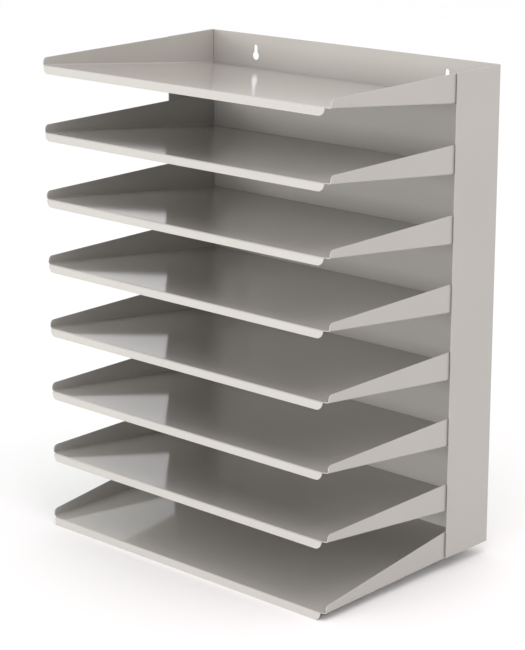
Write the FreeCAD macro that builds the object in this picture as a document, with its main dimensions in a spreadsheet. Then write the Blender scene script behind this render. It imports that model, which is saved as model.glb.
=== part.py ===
"""Wall and desk mail sorter: one folded steel back frame and eight open-front steel trays.

The frame is a back panel with a side flange folded forward at each edge. Seven trays
hang between the flanges, each tipped back so that paper slides to the rear, and a
nearly level base tray closes the bottom. Every tray is one blank: a floor, two
tapering side walls folded up and a front lip folded down, with raised weld pips that
touch the inner face of each flange.

Axes: X to the right, Y to the back, Z up. The origin is under the middle of the
sorter, level with its lowest edge, the lip of the base tray. Millimetres and degrees.
"""

import FreeCAD, Part
import os
from FreeCAD import Placement, Rotation, Vector
import Sketcher

DRIVING_SIZES = [
    ("frame_width", 343.0, "over the outer faces of the side flanges"),
    ("flange_depth", 60.0, "rear face of the panel to the front edge of a flange"),
    ("flange_fall", 1.4, "front end of a flange's top edge below the top of the panel"),
    ("frame_sheet", 1.0, "sheet thickness of the frame"),
    ("tray_sheet", 0.8, "sheet thickness of the trays"),
    ("bend_radius", 1.0, "inside radius of every bend"),
    ("tray_reach", 220.0, "rear face of the panel to the lip face of the base tray"),
    ("tray_pitch", 60.0, "height from one tipped tray to the next"),
    ("tray_tilt", 5.4, "degrees by which the upper trays tip back"),
    ("base_droop", 1.3, "degrees by which the base tray falls towards its lip"),
    ("base_clearance", 5.0, "base tray's wall up to the tray above it, at the rear"),
    ("side_gap", 0.8, "between a tray wall and the flange beside it"),
    ("rear_gap", 0.4, "between a tray and the back panel"),
    ("wall_rear", 32.5, "length of the rear edge of a tray wall"),
    ("wall_front", 7.2, "height of the front edge of a tray wall"),
    ("wall_setback", 3.2, "front edge of a wall behind the face of the lip"),
    ("wall_nose", 4.0, "radius of the upper front corner of a wall"),
    ("lip_drop", 6.5, "lower edge of the lip below the underside of the floor"),
    ("lip_inset", 4.5, "end of the lip inside the outer face of the wall"),
    ("lip_corner", 6.3, "radius of the lower corners of the lip"),
    ("keyhole_spacing", 228.0, "between the two keyholes"),
    ("keyhole_below_top", 20.0, "middle of the round opening below the top edge"),
    ("keyhole_round", 8.0, "diameter of the round opening, for the screw head"),
    ("keyhole_slot", 4.5, "width of the slot, for the screw shank"),
    ("keyhole_rise", 8.2, "middle of the slot's end above that of the round opening"),
    ("pip_diameter", 5.0, "raised weld pip on the outer face of a wall"),
    ("pip_margin", 10.0, "end pips inside the rear and the front edge of a flange"),
    ("pip_above_floor", 14.0, "middle of a pip above the underside of the floor"),
]
UPPER_TRAYS = 7
PIPS_PER_WALL = 3

# Sizes that follow from the driving ones, as expressions on the sheet.
HALF_FRAME = "(Sizes.frame_width / 2)"
FLANGE_INNER = "(Sizes.frame_width / 2 - Sizes.frame_sheet)"
HALF_TRAY = "(Sizes.frame_width / 2 - Sizes.frame_sheet - Sizes.side_gap)"
HALF_TRAY_INNER = f"({HALF_TRAY} - Sizes.tray_sheet)"
HALF_LIP = f"({HALF_TRAY} - Sizes.lip_inset)"
LIP_CORNER = "min(Sizes.lip_corner; 0.98 * Sizes.lip_drop)"
FLOOR_LENGTH = (
    "((Sizes.tray_reach - Sizes.frame_sheet - Sizes.rear_gap) / cos(Sizes.base_droop))"
)
WALL_LENGTH = f"({FLOOR_LENGTH} - Sizes.wall_setback)"
OUTER_TRAY_BEND = "(Sizes.bend_radius + Sizes.tray_sheet)"
HALF_FLAT_FLOOR = f"({HALF_TRAY} - {OUTER_TRAY_BEND})"
BEND_START = f"({FLOOR_LENGTH} - {OUTER_TRAY_BEND})"
FRAME_FOOT = (
    f"({FLOOR_LENGTH} * sin(Sizes.base_droop) + Sizes.lip_drop * cos(Sizes.base_droop))"
)
PANEL_REAR = "(Sizes.tray_reach / 2)"
TRAY_REAR = f"({PANEL_REAR} - Sizes.frame_sheet - Sizes.rear_gap)"
TOP_TRAY_RISE = (
    "(Sizes.wall_rear + Sizes.base_clearance"
    f" + {UPPER_TRAYS - 1} * Sizes.tray_pitch)"
)
FRAME_HEIGHT = f"({TOP_TRAY_RISE} + Sizes.wall_rear)"
KEYHOLE_Z = f"({FRAME_HEIGHT} - Sizes.keyhole_below_top)"
PIP_RUN = (
    "(Sizes.flange_depth - Sizes.frame_sheet - Sizes.rear_gap - 2 * Sizes.pip_margin)"
)
NEAR = 1e-4


def make_sheet(doc):
    """The spreadsheet of driving sizes: name, value and note, one row each."""
    sheet = doc.addObject("Spreadsheet::Sheet", "Sizes")
    for row, (name, size, note) in enumerate(DRIVING_SIZES, start=1):
        sheet.set(f"A{row}", name)
        sheet.set(f"B{row}", str(size))
        sheet.set(f"C{row}", note)
        sheet.setAlias(f"B{row}", name)
    doc.recompute()
    return sheet


def value(doc, expression):
    """The number that an expression on the sheet gives now."""
    result = doc.Sizes.evalExpression(expression)
    return float(getattr(result, "Value", result))


def new_body(doc, label):
    """An empty body named after its node."""
    body = doc.addObject("PartDesign::Body", label)
    body.Label = label
    return body


def new_sketch(body, plane, name):
    """A sketch on one of the body's own origin planes."""
    sketch = body.newObject("Sketcher::SketchObject", name)
    support = next(f for f in body.Origin.OriginFeatures if f.Role == plane)
    sketch.AttachmentSupport = [(support, "")]
    sketch.MapMode = "FlatFace"
    return sketch


def pin(sketch, geometry, vertex, x, y):
    """Fixes a vertex at two expressions, measured from the sketch's origin."""
    for kind, axis, expression in (("DistanceX", -2, x), ("DistanceY", -1, y)):
        if expression == "0":
            sketch.addConstraint(Sketcher.Constraint("PointOnObject", geometry, vertex, axis))
            continue
        number = value(sketch.Document, expression)
        index = sketch.addConstraint(
            Sketcher.Constraint(kind, -1, 1, geometry, vertex, number)
        )
        sketch.setExpression(f"Constraints[{index}]", expression)


def draw_polygon(sketch, corners):
    """A closed outline of straight lines through corners given as expressions."""
    doc = sketch.Document
    points = [Vector(value(doc, x), value(doc, y), 0) for x, y in corners]
    first = sketch.GeometryCount
    count = len(points)
    for i, point in enumerate(points):
        sketch.addGeometry(Part.LineSegment(point, points[(i + 1) % count]), False)
    for i in range(count):
        following = first + (i + 1) % count
        sketch.addConstraint(Sketcher.Constraint("Coincident", first + i, 2, following, 1))
    for i, (x, y) in enumerate(corners):
        pin(sketch, first + i, 1, x, y)


def draw_circle(sketch, x, y, diameter):
    """A circle whose middle and diameter are expressions."""
    doc = sketch.Document
    middle = Vector(value(doc, x), value(doc, y), 0)
    number = value(doc, diameter)
    circle = Part.Circle(middle, Vector(0, 0, 1), number / 2)
    geometry = sketch.addGeometry(circle, False)
    pin(sketch, geometry, 3, x, y)
    index = sketch.addConstraint(Sketcher.Constraint("Diameter", geometry, number))
    sketch.setExpression(f"Constraints[{index}]", diameter)


def add_pad(body, sketch, name, length, symmetric=False):
    """Pads the sketch by a length given as an expression."""
    pad = body.newObject("PartDesign::Pad", name)
    pad.Profile = sketch
    pad.SideType = "Symmetric" if symmetric else "One side"
    pad.setExpression("Length", length)
    body.Document.recompute()
    return pad


def add_pocket(body, sketch, name):
    """Cuts the sketch through everything on both sides of its plane."""
    before = body.Shape.Volume
    pocket = body.newObject("PartDesign::Pocket", name)
    pocket.Profile = sketch
    pocket.SideType = "Symmetric"
    pocket.Type = "ThroughAll"
    body.Document.recompute()
    if not body.Shape.Volume < before:
        raise RuntimeError(f"{body.Label}: {name} cuts nothing")
    return pocket


def straight_edges(body, direction, *places):
    """Names of the edges along a direction whose middle is at one of the places.

    A place is a tuple (x, y, z) of numbers, with None where any value fits.
    """
    found = []
    for number, edge in enumerate(body.Shape.Edges, start=1):
        if edge.Curve.TypeId != "Part::GeomLine":
            continue
        if abs(abs(edge.tangentAt(edge.FirstParameter).dot(direction)) - 1) > NEAR:
            continue
        middle = edge.CenterOfMass
        for place in places:
            pairs = zip(place, (middle.x, middle.y, middle.z))
            if all(p is None or abs(p - m) < NEAR for p, m in pairs):
                found.append(f"Edge{number}")
    if len(found) != len(places):
        raise RuntimeError(f"{body.Label}: {len(found)} edges found, {len(places)} wanted")
    return found


def add_fillet(body, name, edges, radius):
    """Rounds edges of the body's tip by a radius given as an expression."""
    base = body.Tip
    fillet = body.newObject("PartDesign::Fillet", name)
    fillet.Base = (base, edges)
    fillet.setExpression("Radius", radius)
    body.Document.recompute()
    return fillet


def make_frame(doc):
    """The back panel with its two flanges and the pair of keyholes."""
    body = new_body(doc, "back_frame")
    outline = new_sketch(body, "XY_Plane", "frame_section")
    sheet = "Sizes.frame_sheet"
    draw_polygon(
        outline,
        [
            (f"-{HALF_FRAME}", "0"),
            (f"-{HALF_FRAME}", "-Sizes.flange_depth"),
            (f"-{FLANGE_INNER}", "-Sizes.flange_depth"),
            (f"-{FLANGE_INNER}", f"-{sheet}"),
            (FLANGE_INNER, f"-{sheet}"),
            (FLANGE_INNER, "-Sizes.flange_depth"),
            (HALF_FRAME, "-Sizes.flange_depth"),
            (HALF_FRAME, "0"),
        ],
    )
    add_pad(body, outline, "frame_blank", FRAME_HEIGHT)

    up = Vector(0, 0, 1)
    inner, outer = value(doc, FLANGE_INNER), value(doc, HALF_FRAME)
    front_face = -value(doc, sheet)
    edges = straight_edges(
        body, up, (inner, front_face, None), (-inner, front_face, None)
    )
    add_fillet(body, "frame_inner_bends", edges, "Sizes.bend_radius")
    edges = straight_edges(body, up, (outer, 0, None), (-outer, 0, None))
    add_fillet(body, "frame_outer_bends", edges, f"Sizes.bend_radius + {sheet}")

    slope_flange_tops(body)
    cut_keyholes(body)
    body.Placement = Placement(Vector(0, 0, 0), Rotation())
    body.setExpression("Placement.Base.y", PANEL_REAR)
    body.setExpression("Placement.Base.z", FRAME_FOOT)
    return body


def slope_flange_tops(body):
    """Lets the top edge of each flange fall to the front, in line with the tray walls."""
    side_view = new_sketch(body, "YZ_Plane", "flange_top_slope")
    bend_end = "-(Sizes.bend_radius + Sizes.frame_sheet)"
    draw_polygon(
        side_view,
        [
            (bend_end, FRAME_HEIGHT),
            ("-Sizes.flange_depth", f"({FRAME_HEIGHT} - Sizes.flange_fall)"),
            ("-Sizes.flange_depth", FRAME_HEIGHT),
        ],
    )
    add_pocket(body, side_view, "cut_flange_tops")


def cut_keyholes(body):
    """Two keyholes near the top of the panel: a round opening under a slot."""
    slot_end = f"({KEYHOLE_Z} + Sizes.keyhole_rise)"
    half_slot = "(Sizes.keyhole_slot / 2)"
    rounds = new_sketch(body, "XZ_Plane", "keyhole_rounds")
    slots = new_sketch(body, "XZ_Plane", "keyhole_slots")
    ends = new_sketch(body, "XZ_Plane", "keyhole_slot_ends")
    for side in ("-", ""):
        middle = f"({side}Sizes.keyhole_spacing / 2)"
        draw_circle(rounds, middle, KEYHOLE_Z, "Sizes.keyhole_round")
        draw_circle(ends, middle, slot_end, "Sizes.keyhole_slot")
        left, right = f"({middle} - {half_slot})", f"({middle} + {half_slot})"
        draw_polygon(
            slots,
            [(left, KEYHOLE_Z), (right, KEYHOLE_Z), (right, slot_end), (left, slot_end)],
        )
    add_pocket(body, rounds, "cut_keyhole_rounds")
    add_pocket(body, slots, "cut_keyhole_slots")
    add_pocket(body, ends, "cut_keyhole_slot_ends")


def make_tray(doc, label, angle, rear_z):
    """One tray, drawn with its floor level and then tipped into place.

    In the body's own axes the floor's rear edge is at y = 0 and its underside at
    z = 0. angle is the expression for how far the tray tips back, in degrees, and
    rear_z that for the height of the underside at the rear.
    """
    body = new_body(doc, label)
    side_view = new_sketch(body, "YZ_Plane", f"{label}_side_view")
    rear_top = (
        f"(-Sizes.wall_rear * sin({angle}))",
        f"(Sizes.wall_rear * cos({angle}))",
    )
    draw_polygon(
        side_view,
        [
            ("0", "0"),
            rear_top,
            (f"-{WALL_LENGTH}", "Sizes.wall_front"),
            (f"-{WALL_LENGTH}", "0"),
        ],
    )
    add_pad(body, side_view, f"{label}_blank", f"2 * {HALF_TRAY}", symmetric=True)

    across = Vector(1, 0, 0)
    nose = (0, -value(doc, WALL_LENGTH), value(doc, "Sizes.wall_front"))
    add_fillet(body, f"{label}_noses", straight_edges(body, across, nose), "Sizes.wall_nose")
    add_weld_pips(body)
    hollow_tray(body)
    add_lip(body)

    back = Rotation(Vector(1, 0, 0), -value(doc, angle))
    body.Placement = Placement(Vector(0, 0, 0), back)
    body.setExpression("Placement.Rotation.Angle", f"-({angle})")
    body.setExpression("Placement.Base.y", TRAY_REAR)
    body.setExpression("Placement.Base.z", rear_z)
    return body


def add_weld_pips(body):
    """Raised pips on the outer faces of both walls, as proud as the side gap."""
    sketch = new_sketch(body, "YZ_Plane", f"{body.Label}_pips")
    for number in range(PIPS_PER_WALL):
        along = f"-(Sizes.pip_margin + {PIP_RUN} * {number} / {PIPS_PER_WALL - 1})"
        draw_circle(sketch, along, "Sizes.pip_above_floor", "Sizes.pip_diameter")
    add_pad(body, sketch, f"{body.Label}_pip_row", f"2 * {FLANGE_INNER}", symmetric=True)


def hollow_tray(body):
    """Takes the inside out, then rounds the bends along the floor."""
    doc = body.Document
    inside = new_sketch(body, "XZ_Plane", f"{body.Label}_inside")
    above = "(2 * Sizes.wall_rear)"
    draw_polygon(
        inside,
        [
            (f"-{HALF_TRAY_INNER}", "Sizes.tray_sheet"),
            (HALF_TRAY_INNER, "Sizes.tray_sheet"),
            (HALF_TRAY_INNER, above),
            (f"-{HALF_TRAY_INNER}", above),
        ],
    )
    add_pocket(body, inside, f"{body.Label}_hollow")

    along = Vector(0, 1, 0)
    half, inner = value(doc, HALF_TRAY), value(doc, HALF_TRAY_INNER)
    floor_top = value(doc, "Sizes.tray_sheet")
    edges = straight_edges(body, along, (inner, None, floor_top), (-inner, None, floor_top))
    add_fillet(body, f"{body.Label}_inner_bends", edges, "Sizes.bend_radius")
    edges = straight_edges(body, along, (half, None, 0), (-half, None, 0))
    add_fillet(body, f"{body.Label}_outer_bends", edges, OUTER_TRAY_BEND)


def add_lip(body):
    """The apron that narrows from the walls to the lip, then the lip folded down.

    The lower corners are rounded first, because their curve can run up into the bend.
    """
    doc = body.Document
    label = body.Label
    apron = new_sketch(body, "XY_Plane", f"{label}_apron_outline")
    draw_polygon(
        apron,
        [
            (f"-{HALF_FLAT_FLOOR}", f"-{WALL_LENGTH}"),
            (HALF_FLAT_FLOOR, f"-{WALL_LENGTH}"),
            (HALF_LIP, f"-{BEND_START}"),
            (f"-{HALF_LIP}", f"-{BEND_START}"),
        ],
    )
    add_pad(body, apron, f"{label}_apron", "Sizes.tray_sheet")

    lip = new_sketch(body, "YZ_Plane", f"{label}_lip_section")
    lip_back = f"({FLOOR_LENGTH} - Sizes.tray_sheet)"
    draw_polygon(
        lip,
        [
            (f"-{BEND_START}", "0"),
            (f"-{BEND_START}", "Sizes.tray_sheet"),
            (f"-{FLOOR_LENGTH}", "Sizes.tray_sheet"),
            (f"-{FLOOR_LENGTH}", "-Sizes.lip_drop"),
            (f"-{lip_back}", "-Sizes.lip_drop"),
            (f"-{lip_back}", "0"),
        ],
    )
    add_pad(body, lip, f"{label}_lip", f"2 * {HALF_LIP}", symmetric=True)

    along = Vector(0, 1, 0)
    half_lip, foot = value(doc, HALF_LIP), -value(doc, "Sizes.lip_drop")
    edges = straight_edges(body, along, (half_lip, None, foot), (-half_lip, None, foot))
    add_fillet(body, f"{label}_lip_corners", edges, LIP_CORNER)

    across = Vector(1, 0, 0)
    front, sheet = -value(doc, FLOOR_LENGTH), value(doc, "Sizes.tray_sheet")
    edges = straight_edges(body, across, (0, front + sheet, 0))
    add_fillet(body, f"{label}_lip_inner_bend", edges, "Sizes.bend_radius")
    edges = straight_edges(body, across, (0, front, sheet))
    add_fillet(body, f"{label}_lip_outer_bend", edges, OUTER_TRAY_BEND)


def make_trays(doc):
    """The tipped trays from the top down, then the base tray."""
    trays = []
    for number in range(UPPER_TRAYS):
        rear_z = f"{FRAME_FOOT} + {TOP_TRAY_RISE} - {number} * Sizes.tray_pitch"
        trays.append(make_tray(doc, f"tray_{number + 1}", "Sizes.tray_tilt", rear_z))
    trays.append(make_tray(doc, "base_tray", "(-Sizes.base_droop)", FRAME_FOOT))
    return trays


def check_and_export(doc, bodies, folder="parts"):
    """Stops on any failed feature or bad solid, then writes one STEP file a body."""
    doc.recompute()
    for item in doc.Objects:
        if {"Invalid", "Error"} & set(item.State):
            raise RuntimeError(f"{item.Label}: {item.State}")
    for body in bodies:
        shape = body.Shape
        if shape.isNull() or not shape.isValid() or len(shape.Solids) != 1:
            raise RuntimeError(f"{body.Label}: not one valid solid")
    os.makedirs(folder, exist_ok=True)
    for body in bodies:
        body.Shape.exportStep(os.path.join(folder, f"{body.Label}.step"))
        box = body.Shape.BoundBox
        print(
            f"{body.Label}: {body.Shape.Volume / 1000:.1f} cm3, "
            f"x {box.XMin:.1f} {box.XMax:.1f}, y {box.YMin:.1f} {box.YMax:.1f}, "
            f"z {box.ZMin:.2f} {box.ZMax:.1f}"
        )


def main():
    doc = FreeCAD.newDocument("MailSorter")
    make_sheet(doc)
    bodies = [make_frame(doc)] + make_trays(doc)
    check_and_export(doc, bodies)


main()
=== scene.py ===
"""Looks for a sheet-steel mail sorter.

The sorter is folded from nine flat blanks: one back frame and eight trays. Each blank is
drawn flat, gets its thickness and softened edges while it is flat, and is then folded by
one Geometry Nodes tree that follows the bending rule of sheet metal. The same tree adds the
weld pips and sets the piece in its place. Lengths are in metres; MM turns millimetres into
them. X runs to the right, Y to the back and Z up.
"""

from __future__ import annotations

import logging
import math
from abc import ABC, abstractmethod
from dataclasses import dataclass
from enum import Enum
from typing import Any, ClassVar, Iterable, Iterator, Sequence

import bmesh
import bpy
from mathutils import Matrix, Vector

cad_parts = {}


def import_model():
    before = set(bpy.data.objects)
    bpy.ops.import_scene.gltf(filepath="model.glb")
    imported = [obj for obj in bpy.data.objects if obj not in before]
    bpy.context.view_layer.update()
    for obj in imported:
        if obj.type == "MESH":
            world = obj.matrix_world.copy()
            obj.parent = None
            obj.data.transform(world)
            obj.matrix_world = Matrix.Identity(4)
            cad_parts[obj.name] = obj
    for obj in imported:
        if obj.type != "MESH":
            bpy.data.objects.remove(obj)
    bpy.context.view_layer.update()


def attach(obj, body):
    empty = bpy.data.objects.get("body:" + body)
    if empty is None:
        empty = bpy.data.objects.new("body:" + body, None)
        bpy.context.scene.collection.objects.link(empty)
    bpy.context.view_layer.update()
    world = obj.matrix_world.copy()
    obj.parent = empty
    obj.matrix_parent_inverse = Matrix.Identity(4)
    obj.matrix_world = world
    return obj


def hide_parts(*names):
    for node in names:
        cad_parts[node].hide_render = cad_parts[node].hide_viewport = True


LOG = logging.getLogger("mail_sorter")
MM = 0.001
RIGHT_ANGLE = math.pi / 2
BODY = "root"
Point = tuple[float, float]
Line = tuple[Point, Point]


def linear(hex_colour: str) -> tuple[float, float, float, float]:
    """Turns an sRGB hex colour into a linear one.

    Args:
        hex_colour: six hex digits after a hash, such as "#a1b2c3".

    Returns:
        Red, green, blue and an alpha of one.
    """
    channels = [int(hex_colour[i : i + 2], 16) / 255 for i in (1, 3, 5)]
    values = [c / 12.92 if c <= 0.04045 else ((c + 0.055) / 1.055) ** 2.4 for c in channels]
    return (*values, 1.0)


def add_node(
    tree: bpy.types.NodeTree,
    kind: str,
    inputs: dict[str | int, Any] | None = None,
    **settings: Any,
) -> bpy.types.Node:
    """Adds a node, sets its properties and fills its inputs.

    Args:
        tree: the tree that gets the node.
        kind: the node's type, such as "ShaderNodeMath".
        inputs: input name or number to a value, or to an output socket to link.
        **settings: properties of the node.

    Returns:
        The new node.
    """
    node = tree.nodes.new(kind)
    for name, setting in settings.items():
        setattr(node, name, setting)
    for key, given in (inputs or {}).items():
        if isinstance(given, bpy.types.NodeSocket):
            tree.links.new(given, node.inputs[key])
        else:
            node.inputs[key].default_value = given
    return node


def empty_tree(block: bpy.types.Material | bpy.types.World) -> bpy.types.NodeTree:
    """Turns on the nodes of a material or world and clears them.

    Args:
        block: the material or world.

    Returns:
        Its node tree, without a node.
    """
    block.use_nodes = True
    block.node_tree.nodes.clear()
    return block.node_tree


def put_in_scene(name: str, data: bpy.types.ID) -> bpy.types.Object:
    """Makes an object and links it to the scene.

    Args:
        name: the object's name.
        data: its mesh, light or camera.

    Returns:
        The object, at the origin.
    """
    made = bpy.data.objects.new(name, data)
    bpy.context.scene.collection.objects.link(made)
    return made


def arc(centre: Point, radius: float, start: float, end: float, steps: int) -> list[Point]:
    """Points along an arc, both ends included.

    Args:
        centre: the middle of the arc.
        radius: its radius.
        start: angle of the first point, in degrees.
        end: angle of the last point, in degrees.
        steps: how many equal steps lie between them.

    Returns:
        The points in order.
    """
    angles = [math.radians(start + (end - start) * i / steps) for i in range(steps + 1)]
    return [(centre[0] + radius * math.cos(a), centre[1] + radius * math.sin(a)) for a in angles]


class Side(Enum):
    """A side of the sorter, as the sign of X there."""

    RIGHT = 1.0
    LEFT = -1.0


class Slot(Enum):
    """The two finishes that can be repainted apart."""

    FRAME = "frame_paint"
    TRAY = "tray_paint"


@dataclass(frozen=True)
class Sheet:
    """The steel a blank is cut from and how tightly it is folded."""

    thickness: float
    bend_radius: float = 1.0 * MM
    edge_round: float = 0.18 * MM
    bend_steps: int = 8

    @property
    def neutral(self) -> float:
        """Radius of the middle of the sheet in a bend."""
        return self.bend_radius + self.thickness / 2

    @property
    def outside(self) -> float:
        """Radius of the outer face in a bend."""
        return self.bend_radius + self.thickness

    @property
    def bend_length(self) -> float:
        """Flat length that a square bend takes up."""
        return self.neutral * RIGHT_ANGLE

    @property
    def stations(self) -> list[float]:
        """Flat distances of the lines that divide a bend, from its start to its end."""
        return [self.bend_length * i / self.bend_steps for i in range(self.bend_steps + 1)]

    def flat(self, height: float) -> float:
        """Where a point on a folded flap lies in the flat blank.

        Args:
            height: the point's height over the outer face of the sheet it stands on.

        Returns:
            Its flat distance past the line where the bend starts.
        """
        return self.bend_length + height - self.outside

    def height(self, station: float) -> float:
        """How high the outer face of a bend stands at one of its stations.

        Args:
            station: the flat distance past the line where the bend starts.

        Returns:
            The height over the outer face of the sheet it starts from.
        """
        return self.outside * (1 - math.cos(station / self.neutral))

    def fall(self, station: float) -> float:
        """How deep the middle of a bend that folds down lies at one of its stations.

        Args:
            station: the flat distance past the line where the bend starts.

        Returns:
            The depth below the underside of the sheet it starts from.
        """
        return self.bend_radius - self.neutral * math.cos(station / self.neutral)


class Blank:
    """A flat cut sheet: faces in one plane that share their fold lines.

    Corners that fall on one point of a grid of GRID are the same corner. Edges that turn by
    more than CUT_EDGE are cut edges, and are rounded in EDGE_STEPS.
    """

    GRID: ClassVar[float] = 0.001 * MM
    CUT_EDGE: ClassVar[float] = math.radians(60)
    EDGE_STEPS: ClassVar[int] = 3

    def __init__(self) -> None:
        """Starts with an empty sheet."""
        self._mesh = bmesh.new()
        self._corners: dict[tuple[int, int], bmesh.types.BMVert] = {}

    def _corner(self, point: Sequence[float]) -> bmesh.types.BMVert:
        """The vertex at a point, made once and found again on a fine grid."""
        key = (round(point[0] / self.GRID), round(point[1] / self.GRID))
        if key not in self._corners:
            self._corners[key] = self._mesh.verts.new((point[0], point[1], 0.0))
        return self._corners[key]

    def face(self, outline: Sequence[Sequence[float]]) -> None:
        """Adds a face that looks up, whichever way round its outline runs.

        Args:
            outline: its corners in order, where one that is given twice counts once.
        """
        face = self._mesh.faces.new(dict.fromkeys(self._corner(p) for p in outline))
        face.normal_update()
        if face.normal.z < 0:
            face.normal_flip()

    def strips(self, lines: Sequence[Line]) -> None:
        """Adds a face between each line and the next.

        Args:
            lines: the two ends of each line, in order across the strips.
        """
        for (near, far), (next_near, next_far) in zip(lines, lines[1:]):
            self.face([near, far, next_far, next_near])

    def finish(self, name: str, sheet: Sheet) -> bpy.types.Object:
        """Makes the object of the flat sheet, with its thickness and softened edges.

        Args:
            name: the name of the object.
            sheet: the steel it is cut from.

        Returns:
            The object, in the scene, with its modifiers live.
        """
        mesh = bpy.data.meshes.new(name)
        self._mesh.to_mesh(mesh)
        self._mesh.free()
        mesh.shade_smooth()
        blank = put_in_scene(name, mesh)
        thicken = blank.modifiers.new("thickness", "SOLIDIFY")
        thicken.thickness, thicken.offset = sheet.thickness, 0.0
        soften = blank.modifiers.new("soft edges", "BEVEL")
        soften.width, soften.segments = sheet.edge_round, self.EDGE_STEPS
        soften.limit_method, soften.angle_limit = "ANGLE", self.CUT_EDGE
        soften.use_clamp_overlap = False
        return blank


class FoldingTree:
    """The Geometry Nodes tree that folds a blank, adds its pips and sets it in place."""

    INPUTS: ClassVar[dict[str, str]] = {
        "Half Floor": "NodeSocketFloat",
        "Front Fold": "NodeSocketFloat",
        "Neutral Radius": "NodeSocketFloat",
        "Sheet": "NodeSocketFloat",
        "Turn": "NodeSocketVector",
        "Place": "NodeSocketVector",
        "Pip Count": "NodeSocketInt",
        "Pip Start": "NodeSocketVector",
        "Pip Step": "NodeSocketVector",
        "Pip Radius": "NodeSocketFloat",
        "Pip Rise": "NodeSocketFloat",
        "Paint": "NodeSocketMaterial",
    }
    # What lies past Half Floor is folded up and what lies past Front Fold is folded down.
    # Each line is a result, an operation and the two values that it works on.
    RULE: ClassVar[tuple[tuple[str, str, str | float, str | float], ...]] = (
        ("full bend", "MULTIPLY", "Neutral Radius", RIGHT_ANGLE),
        ("across", "ABSOLUTE", "X", 0.0),
        ("side", "SIGN", "X", 0.0),
        ("past side line", "SUBTRACT", "across", "Half Floor"),
        ("side reach", "MAXIMUM", "past side line", 0.0),
        ("side turned", "DIVIDE", "side reach", "Neutral Radius"),
        ("side angle", "MINIMUM", "side turned", RIGHT_ANGLE),
        ("past side bend", "SUBTRACT", "side reach", "full bend"),
        ("wall", "MAXIMUM", "past side bend", 0.0),
        ("inner radius", "SUBTRACT", "Neutral Radius", "Z"),
        ("side sine", "SINE", "side angle", 0.0),
        ("side cosine", "COSINE", "side angle", 0.0),
        ("side advance", "MULTIPLY", "inner radius", "side sine"),
        ("side drop", "MULTIPLY", "inner radius", "side cosine"),
        ("side base", "MINIMUM", "across", "Half Floor"),
        ("half width", "ADD", "side base", "side advance"),
        ("folded X", "MULTIPLY", "half width", "side"),
        ("bend rise", "SUBTRACT", "Neutral Radius", "side drop"),
        ("side Z", "ADD", "bend rise", "wall"),
        ("forward", "MULTIPLY", "Y", -1.0),
        ("past front line", "SUBTRACT", "forward", "Front Fold"),
        ("front reach", "MAXIMUM", "past front line", 0.0),
        ("front turned", "DIVIDE", "front reach", "Neutral Radius"),
        ("front angle", "MINIMUM", "front turned", RIGHT_ANGLE),
        ("past front bend", "SUBTRACT", "front reach", "full bend"),
        ("lip", "MAXIMUM", "past front bend", 0.0),
        ("outer radius", "ADD", "Neutral Radius", "Z"),
        ("front sine", "SINE", "front angle", 0.0),
        ("front cosine", "COSINE", "front angle", 0.0),
        ("front advance", "MULTIPLY", "outer radius", "front sine"),
        ("front drop", "MULTIPLY", "outer radius", "front cosine"),
        ("front base", "MINIMUM", "forward", "Front Fold"),
        ("length", "ADD", "front base", "front advance"),
        ("folded Y", "MULTIPLY", "length", -1.0),
        ("bend fall", "SUBTRACT", "front drop", "Neutral Radius"),
        ("front Z", "SUBTRACT", "bend fall", "lip"),
        ("both Z", "ADD", "side Z", "front Z"),
        ("middle Z", "SUBTRACT", "both Z", "Z"),
        ("half sheet", "MULTIPLY", "Sheet", 0.5),
        ("folded Z", "ADD", "middle Z", "half sheet"),
    )
    PIP_SIDES: ClassVar[int] = 24
    # The radius of a pip's top as a share of its foot's.
    PIP_TOP: ClassVar[float] = 0.7

    def __init__(self) -> None:
        """Builds the tree."""
        self.tree = bpy.data.node_groups.new("Fold sheet", "GeometryNodeTree")
        sockets = self.tree.interface.new_socket
        sockets("Blank", in_out="INPUT", socket_type="NodeSocketGeometry")
        self._identifiers = {
            name: sockets(name, in_out="INPUT", socket_type=kind).identifier
            for name, kind in self.INPUTS.items()
        }
        sockets("Piece", in_out="OUTPUT", socket_type="NodeSocketGeometry")
        self._given = add_node(self.tree, "NodeGroupInput").outputs
        self._finish([self._folded(), *(self._pips(side) for side in Side)])

    def _folded(self) -> bpy.types.NodeSocket:
        """Folds the blank by the rule and leaves its outer face at zero.

        Returns:
            The folded geometry.
        """
        position = add_node(self.tree, "GeometryNodeInputPosition").outputs[0]
        axes = add_node(self.tree, "ShaderNodeSeparateXYZ", {0: position}).outputs
        values: dict[Any, Any] = {name: self._given[name] for name in self.INPUTS}
        values.update({axis: axes[axis] for axis in "XYZ"})
        for result, operation, first, second in self.RULE:
            on = {0: values.get(first, first), 1: values.get(second, second)}
            node = add_node(self.tree, "ShaderNodeMath", on, operation=operation, label=result)
            values[result] = node.outputs[0]
        moved = add_node(
            self.tree, "ShaderNodeCombineXYZ", {axis: values[f"folded {axis}"] for axis in "XYZ"}
        )
        folded = add_node(
            self.tree,
            "GeometryNodeSetPosition",
            {"Geometry": self._given["Blank"], "Position": moved.outputs[0]},
        )
        return folded.outputs[0]

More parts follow.
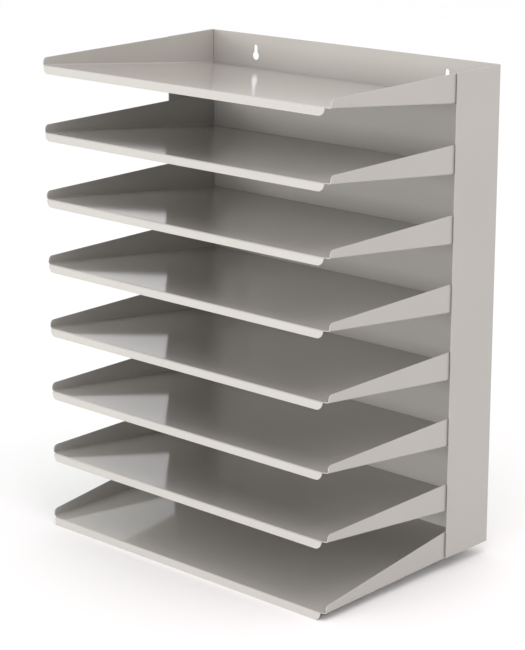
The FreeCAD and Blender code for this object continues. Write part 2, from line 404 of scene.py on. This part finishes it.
    def _pips(self, side: Side) -> bpy.types.NodeSocket:
        """Sets a row of pips on the outer face of one wall.

        Args:
            side: the side that the wall is on.

        Returns:
            The pips as instances.
        """
        given = self._given
        start = add_node(
            self.tree,
            "ShaderNodeVectorMath",
            {0: given["Pip Start"], 1: (side.value, 1.0, 1.0)},
            operation="MULTIPLY",
        )
        row = add_node(
            self.tree,
            "GeometryNodeMeshLine",
            {
                "Count": given["Pip Count"],
                "Start Location": start.outputs[0],
                "Offset": given["Pip Step"],
            },
        )
        top = add_node(
            self.tree,
            "ShaderNodeMath",
            {0: given["Pip Radius"], 1: self.PIP_TOP},
            operation="MULTIPLY",
        )
        pip = add_node(
            self.tree,
            "GeometryNodeMeshCone",
            {
                "Vertices": self.PIP_SIDES,
                "Radius Top": top.outputs[0],
                "Radius Bottom": given["Pip Radius"],
                "Depth": given["Pip Rise"],
            },
        )
        pips = add_node(
            self.tree,
            "GeometryNodeInstanceOnPoints",
            {
                "Points": row.outputs[0],
                "Instance": pip.outputs["Mesh"],
                "Rotation": (0.0, side.value * RIGHT_ANGLE, 0.0),
            },
        )
        return pips.outputs[0]

    def _finish(self, parts: Iterable[bpy.types.NodeSocket]) -> None:
        """Joins the parts, turns and moves them and gives them their paint.

        Args:
            parts: the geometry to join.
        """
        joined = add_node(self.tree, "GeometryNodeJoinGeometry")
        for part in parts:
            self.tree.links.new(part, joined.inputs[0])
        placed = add_node(
            self.tree,
            "GeometryNodeTransform",
            {
                "Geometry": joined.outputs[0],
                "Translation": self._given["Place"],
                "Rotation": self._given["Turn"],
            },
        )
        real = add_node(self.tree, "GeometryNodeRealizeInstances", {0: placed.outputs[0]})
        painted = add_node(
            self.tree,
            "GeometryNodeSetMaterial",
            {"Geometry": real.outputs[0], "Material": self._given["Paint"]},
        )
        add_node(self.tree, "NodeGroupOutput", {0: painted.outputs[0]})

    def fold(self, blank: bpy.types.Object, sizes: dict[str, Any]) -> None:
        """Folds a blank and turns it into a plain mesh.

        Args:
            blank: the flat sheet, whose modifiers are used up.
            sizes: a value for each of the tree's inputs that isn't zero.
        """
        modifier = blank.modifiers.new("fold", "NODES")
        modifier.node_group = self.tree
        for name, size in sizes.items():
            modifier[self._identifiers[name]] = size
        evaluated = blank.evaluated_get(bpy.context.evaluated_depsgraph_get())
        folded, flat = bpy.data.meshes.new_from_object(evaluated), blank.data
        blank.modifiers.clear()
        blank.data = folded
        bpy.data.meshes.remove(flat)
        folded.name = blank.name


class FoldedSheet(ABC):
    """A piece of the sorter that is cut flat and then folded."""

    node: str
    slot: ClassVar[Slot]

    @abstractmethod
    def blank(self) -> bpy.types.Object:
        """Cuts the flat sheet."""

    @abstractmethod
    def sizes(self) -> dict[str, Any]:
        """The values that the folding tree needs."""

    def make(self, folding: FoldingTree, paint: bpy.types.Material) -> None:
        """Cuts, folds and paints the piece and lets it stand for its node.

        Args:
            folding: the tree that folds it.
            paint: its finish.
        """
        piece = self.blank()
        folding.fold(piece, {**self.sizes(), "Paint": paint})
        even = piece.modifiers.new("even shading", "WEIGHTED_NORMAL")
        even.keep_sharp = True
        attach(piece, BODY)
        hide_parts(self.node)
        LOG.info("%s: %d faces, stands for %s", piece.name, len(piece.data.polygons), self.node)


@dataclass(frozen=True)
class Keyhole:
    """A hanging hole: a round opening for the screw's head under a slot for its shank."""

    round_radius: float = 4.0 * MM
    slot_radius: float = 2.25 * MM
    rise: float = 8.2 * MM
    round_steps: int = 20
    slot_steps: int = 8

    def half(self, middle: Point, side: Side) -> list[Point]:
        """One half of the edge of the hole.

        Args:
            middle: the middle of the round opening.
            side: which half.

        Returns:
            The points from the bottom of the round opening to the top of the slot.
        """
        shoulder = math.degrees(math.asin(self.slot_radius / self.round_radius))
        opening = arc((0.0, 0.0), self.round_radius, -90, 90 - shoulder, self.round_steps)
        slot_end = arc((0.0, self.rise), self.slot_radius, 0, 90, self.slot_steps)
        return [(middle[0] + side.value * x, middle[1] + y) for x, y in opening + slot_end]


@dataclass(frozen=True)
class BackFrame(FoldedSheet):
    """The back panel with a flange folded forward at each side.

    Its blank has the foot of the panel on the X axis.
    """

    width: float
    height: float
    depth: float
    sheet: Sheet
    foot: Vector
    node: str = "back_frame"
    keyhole: Keyhole = Keyhole()
    keyhole_spacing: float = 228 * MM
    keyhole_below_top: float = 20 * MM
    flange_fall: float = 1.4 * MM

    slot: ClassVar[Slot] = Slot.FRAME

    @property
    def half_panel(self) -> float:
        """Half the width of the flat panel between the bends."""
        return self.width / 2 - self.sheet.outside

    def _parting(self, hand: Side, half: Side) -> list[Point]:
        """A line up the panel through a keyhole, round one half of it.

        Args:
            hand: the side that the keyhole is on.
            half: the half of the keyhole that the line goes round.

        Returns:
            The points from the foot to the top edge.
        """
        x = hand.value * self.keyhole_spacing / 2
        edge = self.keyhole.half((x, self.height - self.keyhole_below_top), half)
        return [(x, 0.0), *edge, (x, self.height)]

    def blank(self) -> bpy.types.Object:
        """Cuts the flat sheet with its keyholes.

        Returns:
            The flat sheet.
        """
        cut, half, sheet = Blank(), self.half_panel, self.sheet
        left = self._parting(Side.LEFT, Side.RIGHT)
        cut.face([*left, *reversed(self._parting(Side.RIGHT, Side.LEFT))])
        for side in Side:
            rim = side.value * half
            cut.face([*self._parting(side, side), (rim, self.height), (rim, 0.0)])
            bend = [side.value * (half + station) for station in sheet.stations]
            tops = [(x, self.height) for x in bend]
            front = side.value * (half + sheet.flat(self.depth))
            tops.append((front, self.height - self.flange_fall))
            cut.strips([((x, 0.0), (x, top)) for x, top in tops])
        return cut.finish(f"{self.node}_sheet", sheet)

    def sizes(self) -> dict[str, Any]:
        """The values for the folding tree, which stands the blank up.

        Returns:
            A value for each input that isn't zero.
        """
        return {
            "Half Floor": self.half_panel,
            "Neutral Radius": self.sheet.neutral,
            "Sheet": self.sheet.thickness,
            "Turn": (RIGHT_ANGLE, 0.0, 0.0),
            "Place": self.foot,
        }


@dataclass(frozen=True)
class WeldPips:
    """The row of raised pips that welds a tray wall to the flange beside it."""

    count: int = 3
    radius: float = 2.5 * MM
    margin: float = 10.0 * MM
    height: float = 14.0 * MM


@dataclass(frozen=True)
class Tray(FoldedSheet):
    """One tray: a floor, two tapering walls folded up and a lip folded down in front.

    Its blank has the rear edge of the floor on the X axis and its front towards -Y.
    """

    node: str
    tilt: float
    width: float
    length: float
    welded: float
    side_gap: float
    sheet: Sheet
    rear: Vector
    wall_rear: float = 32.5 * MM
    wall_front: float = 7.2 * MM
    wall_setback: float = 3.2 * MM
    wall_nose: float = 4.0 * MM
    lip_drop: float = 6.5 * MM
    lip_inset: float = 4.5 * MM
    lip_corner: float = 6.3 * MM
    corner_steps: int = 8
    pips: WeldPips = WeldPips()

    slot: ClassVar[Slot] = Slot.TRAY

    @property
    def half_floor(self) -> float:
        """Half the width of the flat floor between the side bends."""
        return self.width / 2 - self.sheet.outside

    @property
    def wall_end(self) -> float:
        """Distance from the floor's rear edge to the front edge of a wall."""
        return self.length - self.wall_setback

    @property
    def front_fold(self) -> float:
        """Distance from the floor's rear edge to the line where the lip's bend starts."""
        return self.length - self.sheet.outside

    @property
    def half_lip(self) -> float:
        """Half the width of the lip."""
        return self.width / 2 - self.lip_inset

    def _rear_edge(self, height: float) -> float:
        """Y of a wall's rear edge at a height, which is upright once the tray is tilted."""
        return -height * math.tan(self.tilt)

    def _wall(self) -> list[Point]:
        """The outline of a wall from the end of its bend.

        Returns:
            Each point's height over the underside of the floor and its Y.
        """
        foot, radius = self.sheet.outside, self.wall_nose
        top = self.wall_rear * math.cos(self.tilt)
        rise, run = top - self.wall_front, self._rear_edge(top) + self.wall_end
        slope = math.degrees(math.atan2(rise, run))
        # The nose touches both the sloping top edge and the upright front edge of the wall.
        below = radius * math.tan(math.radians(45 - slope / 2))
        centre = (radius - self.wall_end, self.wall_front - below)
        nose = arc(centre, radius, 90 + slope, 180, self.corner_steps)
        outline = [(foot, self._rear_edge(foot)), (top, self._rear_edge(top))]
        return outline + [(height, y) for y, height in nose] + [(foot, -self.wall_end)]

    def _half_lip_at(self, depth: float) -> float:
        """Half the width of the lip at a depth, narrowed where its corners are round.

        Args:
            depth: the depth below the underside of the floor.

        Returns:
            The distance from the middle to the end of the lip.
        """
        into = max(depth - (self.lip_drop - self.lip_corner), 0.0)
        return self.half_lip - self.lip_corner + math.sqrt(self.lip_corner**2 - into**2)

    def _side_bend(self, side: Side) -> list[Line]:
        """The lines that divide the bend at the foot of a wall.

        Args:
            side: the side that the wall is on.

        Returns:
            The two ends of each line in the flat blank.
        """
        lines = []
        for station in self.sheet.stations:
            x = side.value * (self.half_floor + station)
            rear = self._rear_edge(self.sheet.height(station))
            lines.append(((x, rear), (x, -self.wall_end)))
        return lines

    def _lip_bend(self) -> list[Line]:
        """The lines that divide the lip's bend, each as long as the lip is wide there.

        Returns:
            The two ends of each line in the flat blank.
        """
        lines = []
        for station in self.sheet.stations:
            half = self._half_lip_at(self.sheet.fall(station))
            y = -self.front_fold - station
            lines.append(((-half, y), (half, y)))
        return lines

    def _lip(self) -> list[Point]:
        """The outline of the lip past its bend, with its lower corners rounded.

        Returns:
            The points in the flat blank.
        """
        radius, drop = self.lip_corner, self.lip_drop
        left_top, right_top = self._lip_bend()[-1]
        end = -self.front_fold - self.sheet.flat(drop + self.sheet.thickness)
        into_bend = max(radius - (drop - self.sheet.bend_radius), 0.0)
        first = -math.degrees(math.asin(into_bend / radius))
        middle = (self.half_lip - radius, end + radius)
        right = arc(middle, radius, first, -90, self.corner_steps)
        left = [(-x, y) for x, y in reversed(right)]
        return [right_top, *right, *left, left_top]

    def blank(self) -> bpy.types.Object:
        """Cuts the flat sheet.

        Returns:
            The flat sheet.
        """
        cut, sheet, half, lip = Blank(), self.sheet, self.half_floor, self.half_lip
        cut.face(
            [
                (-half, 0.0),
                (half, 0.0),
                (half, -self.wall_end),
                (lip, -self.front_fold),
                (-lip, -self.front_fold),
                (-half, -self.wall_end),
            ]
        )
        for side in Side:
            cut.strips(self._side_bend(side))
            wall = [(side.value * (half + sheet.flat(height)), y) for height, y in self._wall()]
            cut.face(wall)
        cut.strips(self._lip_bend())
        cut.face(self._lip())
        return cut.finish(f"{self.node}_sheet", sheet)

    def sizes(self) -> dict[str, Any]:
        """The values for the folding tree, which tips the tray back.

        Returns:
            A value for each input.
        """
        half_sheet, pips = self.sheet.thickness / 2, self.pips
        step = (self.welded - 2 * pips.margin) / (pips.count - 1)
        return {
            "Half Floor": self.half_floor,
            "Front Fold": self.front_fold,
            "Neutral Radius": self.sheet.neutral,
            "Sheet": self.sheet.thickness,
            "Turn": (-self.tilt, 0.0, 0.0),
            "Place": self.rear,
            "Pip Count": pips.count,
            "Pip Start": (self.width / 2 - half_sheet, -pips.margin, pips.height),
            "Pip Step": (0.0, -step, 0.0),
            "Pip Radius": pips.radius,
            "Pip Rise": self.side_gap + half_sheet,
        }


@dataclass(frozen=True)
class StovedEnamel:
    """Semi-gloss enamel, sprayed on sheet steel and stoved.

    The paint is a dielectric, so it shows its own colour and reflects more at a low angle.
    It flows out nearly smooth: reflections stay clear, softened by a faint orange peel, and
    bend a little where the thin sheet isn't quite flat.
    """

    name: str
    colour: str = "#afaca7"
    shade: str = "#a9a6a1"
    roughness: tuple[float, float] = (0.09, 0.12)
    ior: float = 1.5
    tone_size: float = 90 * MM
    tone_detail: float = 3.0
    peel_size: float = 2.4 * MM
    peel_detail: float = 1.0
    peel_depth: float = 0.006 * MM
    wave_size: float = 110 * MM
    wave_detail: float = 0.0
    wave_depth: float = 0.25 * MM

    def build(self) -> bpy.types.Material:
        """Builds the material.

        Returns:
            A node material that reads object coordinates.
        """
        paint = bpy.data.materials.new(self.name)
        tree = empty_tree(paint)
        place = add_node(tree, "ShaderNodeTexCoord").outputs["Object"]
        tone, peel, wave = (
            add_node(
                tree,
                "ShaderNodeTexNoise",
                {"Vector": place, "Scale": 1 / size, "Detail": detail},
            ).outputs[0]
            for size, detail in (
                (self.tone_size, self.tone_detail),
                (self.peel_size, self.peel_detail),
                (self.wave_size, self.wave_detail),
            )
        )
        # Sockets 6 and 7 and output 2 are the ones that this node mixes colours with.
        colour = add_node(
            tree,
            "ShaderNodeMix",
            {0: tone, 6: linear(self.colour), 7: linear(self.shade)},
            data_type="RGBA",
        )
        gloss = add_node(
            tree,
            "ShaderNodeMapRange",
            {"Value": tone, "To Min": self.roughness[0], "To Max": self.roughness[1]},
        )
        waves = add_node(tree, "ShaderNodeBump", {"Height": wave, "Distance": self.wave_depth})
        surface = add_node(
            tree,
            "ShaderNodeBump",
            {"Height": peel, "Distance": self.peel_depth, "Normal": waves.outputs[0]},
        )
        shader = add_node(
            tree,
            "ShaderNodeBsdfPrincipled",
            {
                "Base Color": colour.outputs[2],
                "Roughness": gloss.outputs[0],
                "IOR": self.ior,
                "Normal": surface.outputs[0],
            },
        )
        add_node(tree, "ShaderNodeOutputMaterial", {"Surface": shader.outputs[0]})
        return paint


@dataclass(frozen=True)
class MailSorter:
    """The whole sorter: the back frame, the tipped trays and the nearly level base tray."""

    width: float = 343 * MM
    flange_depth: float = 60 * MM
    reach: float = 220 * MM
    frame_sheet: Sheet = Sheet(1.0 * MM)
    tray_sheet: Sheet = Sheet(0.8 * MM)
    upper_trays: int = 7
    pitch: float = 60 * MM
    tilt: float = math.radians(5.4)
    droop: float = math.radians(1.3)
    base_clearance: float = 5 * MM
    side_gap: float = 0.8 * MM
    rear_gap: float = 0.4 * MM
    wall_rear: float = 32.5 * MM
    lip_drop: float = 6.5 * MM

    @property
    def tray_length(self) -> float:
        """Length of a tray's floor from its rear edge to the face of the lip."""
        return (self.reach - self.frame_sheet.thickness - self.rear_gap) / math.cos(self.droop)

    @property
    def foot(self) -> float:
        """Height of the frame's lower edge, which the base tray's lip hangs below."""
        length, drop = self.tray_length, self.lip_drop
        return length * math.sin(self.droop) + drop * math.cos(self.droop)

    @property
    def top_rise(self) -> float:
        """Height of the top tray's rear edge over the frame's lower edge."""
        return self.wall_rear + self.base_clearance + (self.upper_trays - 1) * self.pitch

    def frame(self) -> BackFrame:
        """The back frame."""
        foot = Vector((0.0, self.reach / 2, self.foot))
        height = self.top_rise + self.wall_rear
        return BackFrame(self.width, height, self.flange_depth, self.frame_sheet, foot)

    def _tray(self, node: str, tilt: float, rise: float) -> Tray:
        """One tray of the sorter.

        Args:
            node: the node that it stands for.
            tilt: how far it tips back.
            rise: height of its rear edge over the frame's lower edge.

        Returns:
            The tray.
        """
        sheet = self.frame_sheet.thickness
        rear = Vector((0.0, self.reach / 2 - sheet - self.rear_gap, self.foot + rise))
        return Tray(
            node=node,
            tilt=tilt,
            width=self.width - 2 * (sheet + self.side_gap),
            length=self.tray_length,
            welded=self.flange_depth - sheet - self.rear_gap,
            side_gap=self.side_gap,
            sheet=self.tray_sheet,
            rear=rear,
            wall_rear=self.wall_rear,
            lip_drop=self.lip_drop,
        )

    def trays(self) -> Iterator[Tray]:
        """The trays from the top down."""
        for number in range(self.upper_trays):
            rise = self.top_rise - number * self.pitch
            yield self._tray(f"tray_{number + 1}", self.tilt, rise)
        yield self._tray("base_tray", -self.droop, 0.0)

    def build(self) -> None:
        """Builds every piece and paints it."""
        folding = FoldingTree()
        paints = {slot: StovedEnamel(f"Stoved enamel, {slot.value}").build() for slot in Slot}
        for piece in (self.frame(), *self.trays()):
            piece.make(folding, paints[piece.slot])


def outward(azimuth: float, elevation: float) -> Vector:
    """A direction away from the sorter.

    Args:
        azimuth: radians to the right of straight ahead of its front.
        elevation: radians over the horizon.

    Returns:
        The unit vector.
    """
    level = math.cos(elevation)
    return Vector((level * math.sin(azimuth), -level * math.cos(azimuth), math.sin(elevation)))


@dataclass(frozen=True)
class SoftBox:
    """A studio light with a cloth front, aimed at the middle of the sorter.

    Azimuth and elevation are in degrees, as outward() has them in radians. The size is width
    by height. A cloth with a radiance of one is as bright as white paper on the floor, and
    its colour is the one that it gives the light.
    """

    name: str
    azimuth: float
    elevation: float
    size: Point
    radiance: float
    distance: float
    colour: str = "#ffffff"
    aim: tuple[float, float, float] = (0.0, 0.0, 0.22)

    def hang(self) -> None:
        """Adds the light to the scene, out of the camera's sight."""
        lamp = bpy.data.lights.new(self.name, "AREA")
        lamp.shape = "RECTANGLE"
        lamp.size, lamp.size_y = self.size
        lamp.color = linear(self.colour)[:3]
        lamp.energy = self.radiance * math.pi * self.size[0] * self.size[1]
        light = put_in_scene(self.name, lamp)
        away = outward(math.radians(self.azimuth), math.radians(self.elevation))
        light.location = Vector(self.aim) + away * self.distance
        light.rotation_euler = away.to_track_quat("Z", "Y").to_euler()
        light.visible_camera = False


@dataclass(frozen=True)
class RolledPaint:
    """Matt white wall paint, put on with a roller.

    It scatters light evenly, and the faint stipple that a roller leaves takes away the last
    sheen, so the floor shows only soft shadows.
    """

    name: str = "Matt white floor paint"
    colour: str = "#f8f8f8"
    roughness: float = 0.8
    stipple_size: float = 4 * MM
    stipple_depth: float = 0.02 * MM

    def build(self) -> bpy.types.Material:
        """Builds the material.

        Returns:
            A node material that reads object coordinates.
        """
        paint = bpy.data.materials.new(self.name)
        tree = empty_tree(paint)
        place = add_node(tree, "ShaderNodeTexCoord").outputs["Object"]
        stipple = add_node(
            tree, "ShaderNodeTexNoise", {"Vector": place, "Scale": 1 / self.stipple_size}
        )
        bump = add_node(
            tree,
            "ShaderNodeBump",
            {"Height": stipple.outputs[0], "Distance": self.stipple_depth},
        )
        shader = add_node(
            tree,
            "ShaderNodeBsdfPrincipled",
            {
                "Base Color": linear(self.colour),
                "Roughness": self.roughness,
                "Normal": bump.outputs[0],
            },
        )
        add_node(tree, "ShaderNodeOutputMaterial", {"Surface": shader.outputs[0]})
        return paint


@dataclass(frozen=True)
class Studio:
    """A plain pale floor in a bright white room with soft light."""

    walls: str = "#ffffff"
    brightness: float = 1.04
    floor_paint: RolledPaint = RolledPaint()
    floor_radius: float = 6.0
    floor_sides: int = 96
    lights: tuple[SoftBox, ...] = (
        SoftBox("low front", 0, 6, (3.2, 0.8), 9.5, distance=5.0),
        SoftBox("low front left", -20, 6, (1.2, 0.6), 21, distance=4.0),
        SoftBox("high right", 70, 60, (0.65, 0.65), 2.6, distance=1.2, colour="#ffe8ec"),
    )

    def _lay_floor(self) -> None:
        """Lays the floor, a painted disc under the sorter."""
        disc = bmesh.new()
        bmesh.ops.create_circle(
            disc, cap_ends=True, segments=self.floor_sides, radius=self.floor_radius
        )
        mesh = bpy.data.meshes.new("studio_floor")
        disc.to_mesh(mesh)
        disc.free()
        mesh.materials.append(self.floor_paint.build())
        put_in_scene("studio_floor", mesh)

    def _light_walls(self) -> None:
        """Makes the walls of the room shine evenly."""
        room = bpy.data.worlds.new("White room")
        tree = empty_tree(room)
        light = add_node(
            tree,
            "ShaderNodeBackground",
            {"Color": linear(self.walls), "Strength": self.brightness},
        )
        add_node(tree, "ShaderNodeOutputWorld", {"Surface": light.outputs[0]})
        bpy.context.scene.world = room

    def build(self) -> None:
        """Builds the room, hangs its lights and sets how its brightness is shown."""
        self._lay_floor()
        self._light_walls()
        for soft_box in self.lights:
            soft_box.hang()
        bpy.context.scene.view_settings.view_transform = "Standard"


@dataclass(frozen=True)
class Viewpoint:
    """Where the camera stands: to the right of the sorter's front and above it."""

    azimuth: float = math.radians(43.145)
    elevation: float = math.radians(15.309)
    distance: float = 1876 * MM
    aim: tuple[float, float, float] = (-1.1 * MM, -2.0 * MM, 202.6 * MM)
    lens: float = 116.29

    def place(self) -> None:
        """Adds the camera and makes it the scene's own."""
        away = outward(self.azimuth, self.elevation)
        data = bpy.data.cameras.new("camera")
        data.lens = self.lens
        camera = put_in_scene("camera", data)
        camera.location = Vector(self.aim) + away * self.distance
        camera.rotation_euler = away.to_track_quat("Z", "Y").to_euler()
        bpy.context.scene.camera = camera


def main() -> None:
    """Builds the sorter, the studio and the camera."""
    logging.basicConfig(level=logging.INFO, format="%(message)s")
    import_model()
    Viewpoint().place()
    MailSorter().build()
    Studio().build()


if __name__ == "__main__":
    main()
